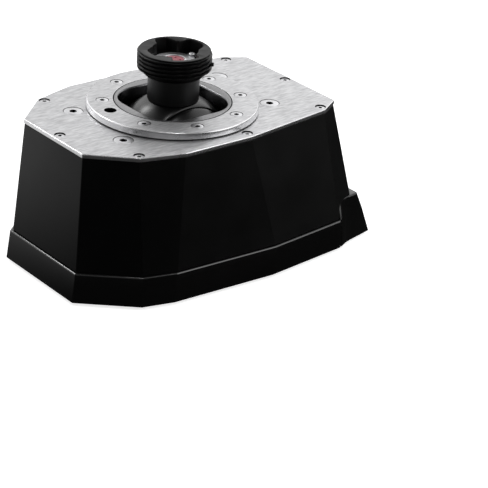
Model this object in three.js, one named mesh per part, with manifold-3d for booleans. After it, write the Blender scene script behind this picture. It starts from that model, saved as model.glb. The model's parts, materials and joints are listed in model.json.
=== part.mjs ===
// Base of a flight joystick: a tapered casing with a metal top plate, a two-axis gimbal under it,
// and a short stem that ends in a threaded collar where a grip screws on.
// Millimetres, +X to the user's right, +Y to the rear, +Z up. The parts are drawn around the centre
// of the clamp ring, on the upper face of the top plate, and the whole is then moved so that its
// origin is on the table, under the middle of its box.

import * as THREE from 'three';
import { mergeVertices } from 'three/addons/utils/BufferGeometryUtils.js';
import Module from 'manifold-3d';

const wasm = await Module();
wasm.setup();

// Clearance between pieces that rest on each other or are cut around each other.
const GAP = 0.3;
// Radial clearance of shafts, bearings and screws in their holes.
const FIT = 0.12;

// Half outlines seen from above, from the front to the rear, as [x, y]; the other half mirrors them.
const PLATE_OUTLINE = [
  [24.1, -69.3], [41.6, -49.9], [47.9, -28.0], [48.3, 10.8], [41.1, 62.1], [34.2, 73.9],
];
const CASING_FOOT = [
  [26.8, -73.4], [47.1, -49.6], [51.7, -33.0], [54.7, 24.0], [49.7, 69.6], [45.6, 82.3],
];
const SKIRT_TOP = [
  [27.7, -74.5], [48.1, -50.4], [52.7, -33.8], [55.7, 23.7], [51.1, 69.0], [43.0, 78.0],
];
const SKIRT_BOTTOM = [
  [28.2, -76.3], [49.6, -51.5], [53.8, -35.4], [56.8, 21.8], [52.0, 69.5], [43.0, 78.0],
];
const BUMP_TOP = [[47.0, 69.9], [45.7, 74.6], [44.6, 79.2], [43.9, 86.3]];
const BUMP_MIDDLE = [[51.1, 69.0], [48.5, 75.2], [46.9, 79.6], [44.0, 89.9]];
const BUMP_BOTTOM = [[52.0, 69.5], [48.9, 75.7], [47.6, 80.0], [44.2, 95.9]];

// Heights, with 0 on the upper face of the top plate.
const PLATE_THICKNESS = 2.0;
const CASING_TOP_Z = -PLATE_THICKNESS - GAP;
const SKIRT_TOP_Z = -58.0;
const BASE_Z = -72.6;
const BUMP_TOP_Z = -49.3;
const FOOT_THICKNESS = 1.3;
const TABLE_Z = BASE_Z - GAP - FOOT_THICKNESS;
const WALL = 2.6;
const BASE_PLATE_THICKNESS = 2.0;
const CASING_FLANGE = 9.0;
const CASING_FLANGE_THICKNESS = 3.0;

// Clamp ring and the gate that it holds.
const RING_RADIUS = 41.6;
const RING_OPENING = 28.8;
const RING_TOP_Z = 3.95;
const RING_BEVEL = 0.5;
const RING_SCREWS = 8;
const RING_SCREW_CIRCLE = 34.0;
const RING_SCREW_START = -60;
const RING_SCREW_STEP = 300 / 7;
const RING_HOLE_ANGLE = -97.3;
const RING_HOLE_RADIUS = 3.0;
const GATE_BAND_RADIUS = 28.3;
const GATE_FLANGE_RADIUS = 31.0;
const GATE_HALF_WIDTH = 23.0;
const GATE_CORNER = 14.8;
const GATE_BEVEL = 1.0;
const PLATE_OPENING = 31.4;

// Screws: [x, y] of each head centre on the top plate.
const LARGE_SCREW = { head: 4.6, shank: 2.5, length: 12, hex: 3.0, top: -0.05 };
const SMALL_SCREW = { head: 2.4, shank: 1.25, length: 5, hex: 1.5, top: -0.3 };
const RING_SCREW = { head: 2.95, shank: 1.5, length: 8, hex: 2.0, top: RING_TOP_Z - 0.05 };
const LARGE_SCREW_PLACES = [[-20.5, -43.8], [20.5, -43.8], [20.5, 43.8], [-20.5, 43.8]];
const SMALL_SCREW_PLACES = [
  [0, -65.2], [38.7, -48.0], [44.0, 10.9], [37.2, 62.2],
  [0, 70.7], [-37.2, 62.2], [-44.0, 10.9], [-38.7, -48.0],
];

// Gimbal. Both tilt axes cross at the pivot, on the ring's axis below the plate.
const PIVOT_Z = -22.8;
const FRAME_FLANGE_RADIUS = 37.5;
const FRAME_FLANGE_OPENING = 29.0;
const FRAME_TOP_Z = CASING_TOP_Z - GAP;
const FRAME_FLANGE_THICKNESS = 2.2;
const BLOCK_INNER_Y = 38.0;
const BLOCK_OUTER_Y = 50.0;
const BLOCK_HALF_WIDTH = 27.0;
const SEAT_INNER_X = 29.5;
const SEAT_OUTER_X = 34.0;
const YOKE_HALF_X = 28.0;
const YOKE_HALF_Y = 37.0;
const YOKE_OPENING_X = 19.5;
const YOKE_OPENING_Y = 31.0;
const YOKE_HALF_HEIGHT = 8.5;
const YOKE_LEG_HALF_WIDTH = 9.0;
const YOKE_LEG_THICKNESS = 4.0;
const LEG_BOTTOM = 35.0;
const ROLL_AXLE_RADIUS = 4.0;
const ROLL_AXLE_END_Y = 46.0;
const ROLL_BEARING_RADIUS = 8.0;
const ROLL_BEARING_WIDTH = 5.0;
const PITCH_AXLE_RADIUS = 3.0;
const PITCH_AXLE_END_X = 25.0;
const PITCH_BEARING_RADIUS = 6.0;
const PITCH_BEARING_WIDTH = 4.0;

// Domes that close the gate under the stem.
const DOME_RADIUS = 30.0;
const DOME_THICKNESS = 2.4;
const DOME_HALF_WIDTH = 13.0;
const DOME_LOWEST = 11.2;
const COVER_RADIUS = 29.6;
const COVER_THICKNESS = 2.2;

// Stick: hub on the pitch axle, stem, threaded collar and the grip's electrical socket.
const NECK_RADIUS = 9.0;
const NECK_TOP = 31.0;
const WIRE_BORE = 5.0;
const STEM_RADIUS = 12.5;
const COLLAR_BOTTOM_Z = 17.6;
const COLLAR_FOOT_RADIUS = 14.4;
const COLLAR_TOP_Z = 29.75;
const THREAD_BOTTOM_Z = 20.2;
const THREAD_RADIUS = 18.0;
const THREAD_ROOT = 16.8;
const THREAD_PITCH = 2.0;
const COLLAR_RIM = 17.4;
const COLLAR_FLOOR_Z = 23.2;
// Outline of the collar's keyed opening, as angle in degrees and radius.
const KEYED_OPENING = [
  [-44, 11.0], [-40, 15.0], [12, 15.0], [17, 13.2], [25, 11.4], [56, 11.3], [64, 12.6], [73, 14.4],
  [86, 15.6], [114, 15.8], [121, 14.1], [126, 12.1], [132, 10.9], [138, 10.9], [146, 12.2],
  [153, 14.0], [158, 15.5], [180, 15.8], [187, 13.4], [195, 10.9], [225, 10.9], [239, 12.4],
  [246, 13.4], [279, 13.5], [286, 12.3], [292, 11.0], [316, 11.0],
];
const OPENING_STEP = 4;
const CABLE_HOLE = 6.0;
const SOCKET_RADIUS = 5.5;
const SOCKET_BORE = 4.7;
const SOCKET_TOP_Z = 25.0;
const SOCKET_FLANGE = 10.5;
const SOCKET_FLANGE_TOP_Z = 24.1;
const SOCKET_EAR = 2.4;
const SOCKET_SCREW_PLACE = [-0.9, 11.2];
const SOCKET_SCREW_RADIUS = 1.1;
const SOCKET_SCREW_HEAD = 1.7;
const SOCKET_SCREW_HEAD_HEIGHT = 0.8;
const LOCK_PIN_ANGLE = 38;
const LOCK_PIN_Z = 24.4;
const LOCK_PIN_RADIUS = 1.0;
const LOCK_PIN_INNER = 15.8;
const LOCK_PIN_OUTER = 19.3;

// Springs: two on each axis, one on each side of a leg.
const SPRING_RADIUS = 3.7;
const SPRING_WIRE = 0.8;
const SPRING_TURNS = 6;
const SPRING_STEPS = 7;
const SPRING_DEPTH = 30.0;

// Rear socket and electronics.
const PORT_HALF_WIDTH = 7.5;
const PORT_HEIGHT = 8.0;
const PORT_Z = -62.0;
const PORT_FLOOR_Y = 84.0;
const BOARD_BOTTOM_Z = -66.3;
const BOARD_THICKNESS = 1.6;
const BOARD_POSTS = [[-24, 24], [24, 24], [-24, 62], [24, 62]];
const FEET = [[-34, -52], [34, -52], [-38, 58], [38, 58]];
const FOOT_RADIUS = 7.0;

const MATERIALS = {
  brushedMetal: new THREE.MeshStandardMaterial({ color: 0xb9b9ba, roughness: 0.32, metalness: 1.0 }),
  steel: new THREE.MeshStandardMaterial({ color: 0xa8a8aa, roughness: 0.28, metalness: 1.0 }),
  casing: new THREE.MeshStandardMaterial({ color: 0x0c0c0d, roughness: 0.38, metalness: 0.0 }),
  glossBlack: new THREE.MeshStandardMaterial({ color: 0x050506, roughness: 0.12, metalness: 0.0 }),
  gate: new THREE.MeshStandardMaterial({ color: 0x8c8c8e, roughness: 0.42, metalness: 1.0 }),
  stickBlack: new THREE.MeshStandardMaterial({ color: 0x141415, roughness: 0.4, metalness: 0.3 }),
  alloy: new THREE.MeshStandardMaterial({ color: 0x6f7174, roughness: 0.5, metalness: 1.0 }),
  rubber: new THREE.MeshStandardMaterial({ color: 0x1a1a1a, roughness: 0.9, metalness: 0.0 }),
  board: new THREE.MeshStandardMaterial({ color: 0x0f4a2a, roughness: 0.6, metalness: 0.0 }),
  insert: new THREE.MeshStandardMaterial({ color: 0xb5445a, roughness: 0.5, metalness: 0.0 }),
};

// Facets round the large, middling and small circles.
const FINE = 40;
const MEDIUM = 20;
const COARSE = 10;

// Signed volume of an indexed triangle list: negative when its faces point inwards.
function signedVolume(position, triangles) {
  const corner = [new THREE.Vector3(), new THREE.Vector3(), new THREE.Vector3()];
  let six = 0;
  for (let i = 0; i < triangles.length; i += 3) {
    corner.forEach((v, k) => v.fromBufferAttribute(position, triangles[i + k]));
    six += corner[0].dot(corner[1].cross(corner[2]));
  }
  return six / 6;
}

// Turns a closed three.js geometry into a solid that can be joined and cut.
function toSolid(geometry) {
  const bare = geometry.clone();
  bare.deleteAttribute('normal');
  bare.deleteAttribute('uv');
  const welded = mergeVertices(bare, 1e-4);
  const index = Array.from(welded.index.array);
  const triangles = [];
  for (let i = 0; i < index.length; i += 3) {
    const [a, b, c] = index.slice(i, i + 3);
    if (a !== b && b !== c && c !== a) triangles.push(a, b, c);
  }
  const position = welded.attributes.position;
  if (signedVolume(position, triangles) < 0) triangles.reverse();
  return new wasm.Manifold(new wasm.Mesh({
    numProp: 3,
    vertProperties: new Float32Array(position.array),
    triVerts: new Uint32Array(triangles),
  }));
}

function join(...solids) {
  return solids.reduce((sum, next) => sum.add(next));
}

function cut(body, ...tools) {
  return tools.reduce((rest, tool) => rest.subtract(tool), body);
}

function piece(name, solid, material) {
  const { vertProperties, triVerts } = solid.getMesh();
  const geometry = new THREE.BufferGeometry();
  geometry.setAttribute('position', new THREE.BufferAttribute(vertProperties, 3));
  geometry.setIndex(new THREE.BufferAttribute(triVerts, 1));
  geometry.computeVertexNormals();
  const mesh = new THREE.Mesh(geometry, material);
  mesh.name = name;
  return mesh;
}

// Box between two corners.
function block(low, high) {
  const size = high.map((v, k) => v - low[k]);
  const middle = high.map((v, k) => (v + low[k]) / 2);
  return toSolid(new THREE.BoxGeometry(...size).translate(...middle));
}

// Round bar between two points; endRadius makes it a cone.
function rod(radius, from, to, segments = MEDIUM, endRadius = radius) {
  const start = new THREE.Vector3(...from);
  const along = new THREE.Vector3(...to).sub(start);
  const geometry = new THREE.CylinderGeometry(endRadius, radius, along.length(), segments);
  geometry.translate(0, along.length() / 2, 0);
  const turn = new THREE.Quaternion().setFromUnitVectors(new THREE.Vector3(0, 1, 0), along.normalize());
  geometry.applyQuaternion(turn).translate(start.x, start.y, start.z);
  return toSolid(geometry);
}

// Solid of revolution about the Z axis from [radius, z] points.
function turned(profile, segments = FINE) {
  const points = profile.map(([r, z]) => new THREE.Vector2(r, z));
  return toSolid(new THREE.LatheGeometry(points, segments).rotateX(Math.PI / 2));
}

function ball(radius, centre) {
  return toSolid(new THREE.SphereGeometry(radius, FINE, MEDIUM).rotateX(Math.PI / 2).translate(...centre));
}

// Whole outline from its right half, anticlockwise from above.
function mirrored(half) {
  const left = half.map(([x, y]) => [-x, y]).reverse();
  return [...half, ...left];
}

// Outline moved inwards by a distance, corner by corner.
function inset(outline, distance) {
  const lines = outline.map(([x, y], i) => {
    const [u, v] = outline[(i + 1) % outline.length];
    const length = Math.hypot(u - x, v - y);
    const normal = [-(v - y) / length, (u - x) / length];
    return { normal, offset: normal[0] * x + normal[1] * y + distance };
  });
  return lines.map((line, i) => {
    const before = lines[(i + lines.length - 1) % lines.length];
    const [a, b] = before.normal;
    const [c, d] = line.normal;
    const determinant = a * d - b * c;
    const x = (before.offset * d - b * line.offset) / determinant;
    const y = (a * line.offset - before.offset * c) / determinant;
    return [x, y];
  });
}

// Outline at height z on the straight loft between two outlines.
function between(lower, upper, lowZ, highZ, z) {
  const t = (z - lowZ) / (highZ - lowZ);
  return lower.map(([x, y], i) => [x + (upper[i][0] - x) * t, y + (upper[i][1] - y) * t]);
}

// Closed solid through outlines with matching corners, given as [outline, height] from the bottom up.
function loft(...levels) {
  const count = levels[0][0].length;
  const top = (levels.length - 1) * count;
  const cap = ([outline]) => {
    const points = outline.map(([x, y]) => new THREE.Vector2(x, y));
    return THREE.ShapeUtils.triangulateShape(points, []);
  };
  const index = [];
  cap(levels[0]).forEach(([a, b, c]) => index.push(a, c, b));
  cap(levels.at(-1)).forEach(([a, b, c]) => index.push(top + a, top + b, top + c));
  for (let low = 0; low < top; low += count) {
    for (let i = 0; i < count; i += 1) {
      const a = low + i;
      const b = low + ((i + 1) % count);
      const c = b + count;
      const d = a + count;
      // The left half is split along the other diagonal, so both halves match.
      if (i < count / 2) index.push(a, b, c, a, c, d);
      else index.push(a, b, d, b, c, d);
    }
  }
  const position = levels.flatMap(([outline, z]) => outline.flatMap(([x, y]) => [x, y, z]));
  const geometry = new THREE.BufferGeometry();
  geometry.setAttribute('position', new THREE.Float32BufferAttribute(position, 3));
  geometry.setIndex(index);
  return toSolid(geometry);
}

function prism(outline, lowZ, highZ) {
  return loft([outline, lowZ], [outline, highZ]);
}

function circle(radius, segments, centre = [0, 0]) {
  return Array.from({ length: segments }, (_, i) => {
    const angle = (i / segments) * 2 * Math.PI;
    return [centre[0] + radius * Math.cos(angle), centre[1] + radius * Math.sin(angle)];
  });
}

// Square with round corners, centred on the axis.
function roundedSquare(half, corner, steps = 6) {
  const points = [];
  for (let quarter = 0; quarter < 4; quarter += 1) {
    const centreAngle = (quarter + 0.5) * (Math.PI / 2);
    const centreX = Math.sign(Math.cos(centreAngle)) * (half - corner);
    const centreY = Math.sign(Math.sin(centreAngle)) * (half - corner);
    for (let i = 0; i <= steps; i += 1) {
      const angle = (quarter + i / steps) * (Math.PI / 2);
      points.push([centreX + corner * Math.cos(angle), centreY + corner * Math.sin(angle)]);
    }
  }
  return points;
}

// Countersunk screw with a hexagon socket, pointing down at [x, y].
function screwSolid(kind, [x, y]) {
  const { head, shank, length, hex, top } = kind;
  const coneBottom = top - 0.3 - (head - shank);
  const profile = [
    [0, top], [head, top], [head, top - 0.3], [shank, coneBottom], [shank, top - length], [0, top - length],
  ];
  const socket = rod(hex / Math.sqrt(3), [0, 0, top - head * 0.42], [0, 0, top + 1], 6);
  return cut(turned(profile, COARSE), socket).translate([x, y, 0]);
}

// Clearance for such a screw, through everything under its head.
function screwHole(kind, [x, y]) {
  const { head, shank, length, top } = kind;
  const wide = head + FIT;
  const narrow = shank + FIT;
  const coneBottom = top - 0.3 - (head - shank);
  const profile = [
    [0, top + 2], [wide, top + 2], [wide, top - 0.3], [narrow, coneBottom],
    [narrow, top - length - 1], [0, top - length - 1],
  ];
  return turned(profile, COARSE).translate([x, y, 0]);
}

function onCircle(radius, degrees) {
  const angle = THREE.MathUtils.degToRad(degrees);
  return [radius * Math.cos(angle), radius * Math.sin(angle)];
}

const RING_SCREW_PLACES = Array.from({ length: RING_SCREWS }, (_, i) => (
  onCircle(RING_SCREW_CIRCLE, RING_SCREW_START + i * RING_SCREW_STEP)
));
const RING_HOLE_PLACE = onCircle(RING_SCREW_CIRCLE, RING_HOLE_ANGLE);

const SCREW_HOLES = [
  ...LARGE_SCREW_PLACES.map((place) => screwHole(LARGE_SCREW, place)),
  ...SMALL_SCREW_PLACES.map((place) => screwHole(SMALL_SCREW, place)),
  ...RING_SCREW_PLACES.map((place) => screwHole(RING_SCREW, place)),
];

function sideHole() {
  return prism(circle(RING_HOLE_RADIUS, COARSE, RING_HOLE_PLACE), -PLATE_THICKNESS - 1, RING_TOP_Z + 1);
}

function topPlate() {
  const sheet = prism(mirrored(PLATE_OUTLINE), -PLATE_THICKNESS, 0);
  const opening = prism(circle(PLATE_OPENING, FINE), -PLATE_THICKNESS - 1, 1);
  return cut(sheet, opening, sideHole(), ...SCREW_HOLES);
}

function clampRing() {
  const body = turned([
    [RING_OPENING, GAP], [RING_RADIUS, GAP], [RING_RADIUS, RING_TOP_Z - RING_BEVEL],
    [RING_RADIUS - RING_BEVEL, RING_TOP_Z], [RING_OPENING, RING_TOP_Z], [RING_OPENING, GAP],
  ]);
  return cut(body, sideHole(), ...SCREW_HOLES.slice(-RING_SCREWS));
}

function gateLiner() {
  const flange = prism(circle(GATE_FLANGE_RADIUS, FINE), CASING_TOP_Z, 0);
  const band = prism(circle(GATE_BAND_RADIUS, FINE), -1, RING_TOP_Z);
  const opening = roundedSquare(GATE_HALF_WIDTH, GATE_CORNER);
  const wide = roundedSquare(GATE_HALF_WIDTH + 2 * GATE_BEVEL, GATE_CORNER + 2 * GATE_BEVEL);
  const through = prism(opening, CASING_TOP_Z - 1, RING_TOP_Z + 1);
  const bevel = loft([opening, RING_TOP_Z - GATE_BEVEL], [wide, RING_TOP_Z + GATE_BEVEL]);
  return cut(join(flange, band), through, bevel);
}

// Rear bump of the lower housing, with its outline moved outwards by grow.
function bumpSolid(grow) {
  const at = (half) => inset(mirrored(half), -grow);
  return loft([at(BUMP_BOTTOM), BASE_Z], [at(BUMP_MIDDLE), SKIRT_TOP_Z], [at(BUMP_TOP), BUMP_TOP_Z + grow]);
}

function upperHousing() {
  const foot = mirrored(CASING_FOOT);
  const top = inset(mirrored(PLATE_OUTLINE), GAP);
  const lowZ = SKIRT_TOP_Z + GAP;
  const at = (z) => between(foot, top, SKIRT_TOP_Z, CASING_TOP_Z, z);
  const outer = loft([at(lowZ), lowZ], [top, CASING_TOP_Z]);
  const flangeZ = CASING_TOP_Z - CASING_FLANGE_THICKNESS;
  const hollow = loft([inset(at(lowZ - 1), WALL), lowZ - 1], [inset(at(flangeZ), WALL), flangeZ]);
  const opening = prism(inset(top, CASING_FLANGE), flangeZ - 1, CASING_TOP_Z + 1);
  return cut(outer, hollow, opening, bumpSolid(GAP), ...SCREW_HOLES.slice(4, 12));
}

function portRecess() {
  return block(
    [-PORT_HALF_WIDTH, PORT_FLOOR_Y, PORT_Z - PORT_HEIGHT / 2],
    [PORT_HALF_WIDTH, 120, PORT_Z + PORT_HEIGHT / 2],
  );
}

function lowerHousing() {
  const lower = mirrored(SKIRT_BOTTOM);
  const upper = mirrored(SKIRT_TOP);
  const skirt = loft([lower, BASE_Z], [upper, SKIRT_TOP_Z]);
  const hollow = loft([inset(lower, WALL), BASE_Z - 1], [inset(upper, WALL + 1), SKIRT_TOP_Z + 1]);
  const inside = (half) => inset(mirrored(half), WALL);
  const bumpHollow = loft(
    [inside(BUMP_BOTTOM), BASE_Z - 1],
    [inside(BUMP_MIDDLE), SKIRT_TOP_Z],
    [inside(BUMP_TOP), BUMP_TOP_Z - WALL],
  );
  const doorway = prism(mirrored([[48.4, 62], [48.0, 69.5], [46.4, 75.0]]), BASE_Z - 1, SKIRT_TOP_Z);
  const archway = block([-38, 60, SKIRT_TOP_Z - 1], [38, 76, BUMP_TOP_Z - WALL]);
  const portWall = block(
    [-PORT_HALF_WIDTH - WALL, PORT_FLOOR_Y - WALL, PORT_Z - PORT_HEIGHT / 2 - WALL],
    [PORT_HALF_WIDTH + WALL, 90, PORT_Z + PORT_HEIGHT / 2 + WALL],
  );
  const shell = cut(join(skirt, bumpSolid(0)), hollow, bumpHollow, doorway, archway);
  const plugHole = block(
    [-5.2, PORT_FLOOR_Y - WALL - 1, PORT_Z - 2.2],
    [5.2, PORT_FLOOR_Y + 1, PORT_Z + 2.2],
  );
  return cut(join(shell, portWall), portRecess(), plugHole);
}

function bottomCover() {
  const top = BASE_Z + BASE_PLATE_THICKNESS;
  const inside = (low, high) => {
    const atTop = between(mirrored(low), mirrored(high), BASE_Z, SKIRT_TOP_Z, top);
    return inset(atTop, WALL + 2 * GAP).slice(0, low.length);
  };
  const front = inside(SKIRT_BOTTOM, SKIRT_TOP).filter(([, y]) => y < 60);
  const rear = inside(BUMP_BOTTOM, BUMP_MIDDLE).slice(1);
  const sheet = prism(mirrored([...front, [47.2, 66], ...rear]), BASE_Z, top);
  const posts = BOARD_POSTS.map(([x, y]) => (
    rod(3, [x, y, BASE_Z + 1], [x, y, BOARD_BOTTOM_Z - GAP], COARSE)
  ));
  return join(sheet, ...posts);
}

function rubberFoot([x, y]) {
  return prism(circle(FOOT_RADIUS, MEDIUM, [x, y]), TABLE_Z, BASE_Z - GAP);
}

function usbSocket() {
  const shell = block([-4.6, PORT_FLOOR_Y - 8, PORT_Z - 1.6], [4.6, PORT_FLOOR_Y + 0.5, PORT_Z + 1.6]);
  const mouth = block([-4.2, PORT_FLOOR_Y - 6, PORT_Z - 1.2], [4.2, PORT_FLOOR_Y + 2, PORT_Z + 1.2]);
  const tongue = block([-3.3, PORT_FLOOR_Y - 7, PORT_Z - 0.35], [3.3, PORT_FLOOR_Y - 0.8, PORT_Z + 0.35]);
  return join(cut(shell, mouth), tongue);
}

function mainBoard() {
  const top = BOARD_BOTTOM_Z + BOARD_THICKNESS;
  const sheet = block([-29, 18, BOARD_BOTTOM_Z], [29, 74, top]);
  const chip = block([-7, 36, top - 0.5], [7, 50, top + 1.4]);
  const header = block([-20, 22, top - 0.5], [-6, 28, top + 6]);
  return join(sheet, chip, header);
}

// Fixed frame of the gimbal: a flange under the plate and two bearing blocks hanging from it.
function gimbalFrame() {
  const flangeZ = FRAME_TOP_Z - FRAME_FLANGE_THICKNESS;
  const flange = prism(circle(FRAME_FLANGE_RADIUS, FINE), flangeZ, FRAME_TOP_Z);
  const web = block(
    [-BLOCK_HALF_WIDTH, -BLOCK_OUTER_Y, flangeZ],
    [BLOCK_HALF_WIDTH, BLOCK_OUTER_Y, FRAME_TOP_Z],
  );
  const opening = prism(circle(FRAME_FLANGE_OPENING, FINE), flangeZ - 1, FRAME_TOP_Z + 1);
  const rear = block(
    [-BLOCK_HALF_WIDTH, BLOCK_INNER_Y, PIVOT_Z - 14],
    [BLOCK_HALF_WIDTH, BLOCK_OUTER_Y, FRAME_TOP_Z],
  );
  const front = block(
    [-BLOCK_HALF_WIDTH, -BLOCK_OUTER_Y, PIVOT_Z - 15],
    [BLOCK_HALF_WIDTH, -BLOCK_INNER_Y, FRAME_TOP_Z],
  );
  const apron = block(
    [-SEAT_OUTER_X, -BLOCK_OUTER_Y + 4, PIVOT_Z - LEG_BOTTOM - 1],
    [SEAT_OUTER_X, -BLOCK_INNER_Y, PIVOT_Z - 14],
  );
  const seats = [-1, 1].map((side) => block(
    [Math.min(side * SEAT_INNER_X, side * SEAT_OUTER_X), -BLOCK_INNER_Y - 1, PIVOT_Z - LEG_BOTTOM - 1],
    [Math.max(side * SEAT_INNER_X, side * SEAT_OUTER_X), -28, PIVOT_Z - LEG_BOTTOM + 11],
  ));
  const bores = rod(ROLL_BEARING_RADIUS + FIT, [0, -60, PIVOT_Z], [0, 60, PIVOT_Z], MEDIUM);
  const body = cut(join(flange, web), opening);
  return cut(join(body, rear, front, apron, ...seats), bores, sideHole(), ...SCREW_HOLES);
}

function bearing(axis, side) {
  const roll = axis === 'roll';
  const inner = roll ? BLOCK_INNER_Y : YOKE_OPENING_X + 0.3;
  const outer = inner + (roll ? ROLL_BEARING_WIDTH : PITCH_BEARING_WIDTH);
  const along = (v) => (roll ? [0, side * v, PIVOT_Z] : [side * v, 0, PIVOT_Z]);
  const race = rod(roll ? ROLL_BEARING_RADIUS : PITCH_BEARING_RADIUS, along(inner), along(outer));
  const bore = (roll ? ROLL_AXLE_RADIUS : PITCH_AXLE_RADIUS) + FIT;
  return cut(race, rod(bore, along(inner - 1), along(outer + 1)));
}

function rollYoke() {
  const low = PIVOT_Z - YOKE_HALF_HEIGHT;
  const high = PIVOT_Z + YOKE_HALF_HEIGHT;
  const outer = block([-YOKE_HALF_X, -YOKE_HALF_Y, low], [YOKE_HALF_X, YOKE_HALF_Y, high]);
  const opening = block(
    [-YOKE_OPENING_X, -YOKE_OPENING_Y, low - 1],
    [YOKE_OPENING_X, YOKE_OPENING_Y, high + 1],
  );
  const legs = [-1, 1].map((side) => {
    const near = side * YOKE_OPENING_Y;
    const far = side * (YOKE_OPENING_Y + YOKE_LEG_THICKNESS);
    return block(
      [-YOKE_LEG_HALF_WIDTH, Math.min(near, far), PIVOT_Z - LEG_BOTTOM],
      [YOKE_LEG_HALF_WIDTH, Math.max(near, far), low + 1],
    );
  });
  const rollBore = rod(ROLL_AXLE_RADIUS + FIT, [0, -60, PIVOT_Z], [0, 60, PIVOT_Z]);
  const pitchBore = rod(PITCH_BEARING_RADIUS + FIT, [-40, 0, PIVOT_Z], [40, 0, PIVOT_Z]);
  return cut(join(cut(outer, opening), ...legs), rollBore, pitchBore);
}

function rollAxle(side) {
  const inner = side * (YOKE_OPENING_Y + FIT);
  return rod(ROLL_AXLE_RADIUS, [0, inner, PIVOT_Z], [0, side * ROLL_AXLE_END_Y, PIVOT_Z]);
}

function pitchAxle() {
  return rod(PITCH_AXLE_RADIUS, [-PITCH_AXLE_END_X, 0, PIVOT_Z], [PITCH_AXLE_END_X, 0, PIVOT_Z]);
}

// Spherical side cover fixed on the yoke, beside the dome that the stem carries.
function yokeCover(side) {
  const centre = [0, 0, PIVOT_Z];
  const shell = cut(ball(COVER_RADIUS, centre), ball(COVER_RADIUS - COVER_THICKNESS, centre));
  const inner = side * (DOME_HALF_WIDTH + 0.4);
  const outer = side * (COVER_RADIUS + 1);
  const keep = block(
    [Math.min(inner, outer), -40, PIVOT_Z + YOKE_HALF_HEIGHT + GAP],
    [Math.max(inner, outer), 40, PIVOT_Z + 40],
  );
  return shell.intersect(keep);
}

function stickHub() {
  const body = block([-12, -9, PIVOT_Z - 9], [12, 9, PIVOT_Z + 9]);
  const neck = rod(NECK_RADIUS, [0, 0, PIVOT_Z], [0, 0, PIVOT_Z + NECK_TOP]);
  const arm = block([-5, -4, PIVOT_Z - LEG_BOTTOM + 1], [5, 4, PIVOT_Z - 8]);
  const wires = rod(WIRE_BORE, [0, 0, PIVOT_Z + 12], [0, 0, PIVOT_Z + NECK_TOP + 1]);
  const wireExit = rod(3, [0, -20, PIVOT_Z + 15], [0, 0, PIVOT_Z + 15], COARSE);
  const axle = rod(PITCH_AXLE_RADIUS + FIT, [-30, 0, PIVOT_Z], [30, 0, PIVOT_Z]);
  return cut(join(body, neck, arm), wires, wireExit, axle);
}

function stickDome() {
  const centre = [0, 0, PIVOT_Z];
  const shell = cut(ball(DOME_RADIUS, centre), ball(DOME_RADIUS - DOME_THICKNESS, centre));
  const keep = block([-DOME_HALF_WIDTH, -40, PIVOT_Z + DOME_LOWEST], [DOME_HALF_WIDTH, 40, PIVOT_Z + 40]);
  const hole = rod(NECK_RADIUS + GAP, [0, 0, PIVOT_Z], [0, 0, PIVOT_Z + 40]);
  return cut(shell.intersect(keep), hole);
}

function stemTube() {
  const tube = rod(STEM_RADIUS, [0, 0, 0], [0, 0, COLLAR_BOTTOM_Z - GAP], FINE);
  const bore = rod(NECK_RADIUS + GAP, [0, 0, -1], [0, 0, COLLAR_BOTTOM_Z + 1], MEDIUM);
  return cut(tube, bore, ball(DOME_RADIUS + GAP, [0, 0, PIVOT_Z]));
}

// Keyed opening of the collar: a round bore with four keyways that have sloping sides.
function keyedBore() {
  const outline = KEYED_OPENING.slice(1).flatMap(([angle, radius], i) => {
    const [fromAngle, fromRadius] = KEYED_OPENING[i];
    const steps = Math.ceil((angle - fromAngle) / OPENING_STEP);
    return Array.from({ length: steps }, (_, k) => {
      const t = (k + 1) / steps;
      return onCircle(fromRadius + t * (radius - fromRadius), fromAngle + t * (angle - fromAngle));
    });
  });
  return prism(outline, COLLAR_FLOOR_Z, COLLAR_TOP_Z + 1);
}

function threadedCollar() {
  const profile = [[0, COLLAR_BOTTOM_Z], [COLLAR_FOOT_RADIUS, COLLAR_BOTTOM_Z]];
  profile.push([THREAD_ROOT, THREAD_BOTTOM_Z]);
  const crests = Math.floor((COLLAR_TOP_Z - THREAD_BOTTOM_Z - 0.6) / THREAD_PITCH);
  for (let i = 0; i < crests; i += 1) {
    const z = THREAD_BOTTOM_Z + 0.35 + i * THREAD_PITCH;
    profile.push([THREAD_RADIUS, z + 0.65], [THREAD_RADIUS, z + 1.05], [THREAD_ROOT, z + 1.7]);
  }
  profile.push([COLLAR_RIM, COLLAR_TOP_Z - 0.25], [COLLAR_RIM - 0.25, COLLAR_TOP_Z], [0, COLLAR_TOP_Z]);
  const cable = rod(CABLE_HOLE, [0, 0, COLLAR_BOTTOM_Z - 1], [0, 0, COLLAR_FLOOR_Z + 1]);
  const pinFrom = onCircle(LOCK_PIN_INNER - GAP, LOCK_PIN_ANGLE);
  const pinTo = onCircle(THREAD_RADIUS + 2, LOCK_PIN_ANGLE);
  const pinHole = rod(LOCK_PIN_RADIUS + FIT, [...pinFrom, LOCK_PIN_Z], [...pinTo, LOCK_PIN_Z], COARSE);
  const [x, y] = SOCKET_SCREW_PLACE;
  const screwBottom = COLLAR_BOTTOM_Z - 1;
  const screwHoleTop = COLLAR_FLOOR_Z + 1;
  const hole = rod(SOCKET_SCREW_RADIUS + FIT, [x, y, screwBottom], [x, y, screwHoleTop], COARSE);
  return cut(turned(profile), keyedBore(), cable, pinHole, hole);
}

function lockPin() {
  const from = onCircle(LOCK_PIN_INNER, LOCK_PIN_ANGLE);
  const to = onCircle(LOCK_PIN_OUTER, LOCK_PIN_ANGLE);
  return rod(LOCK_PIN_RADIUS, [...from, LOCK_PIN_Z], [...to, LOCK_PIN_Z], COARSE);
}

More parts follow.
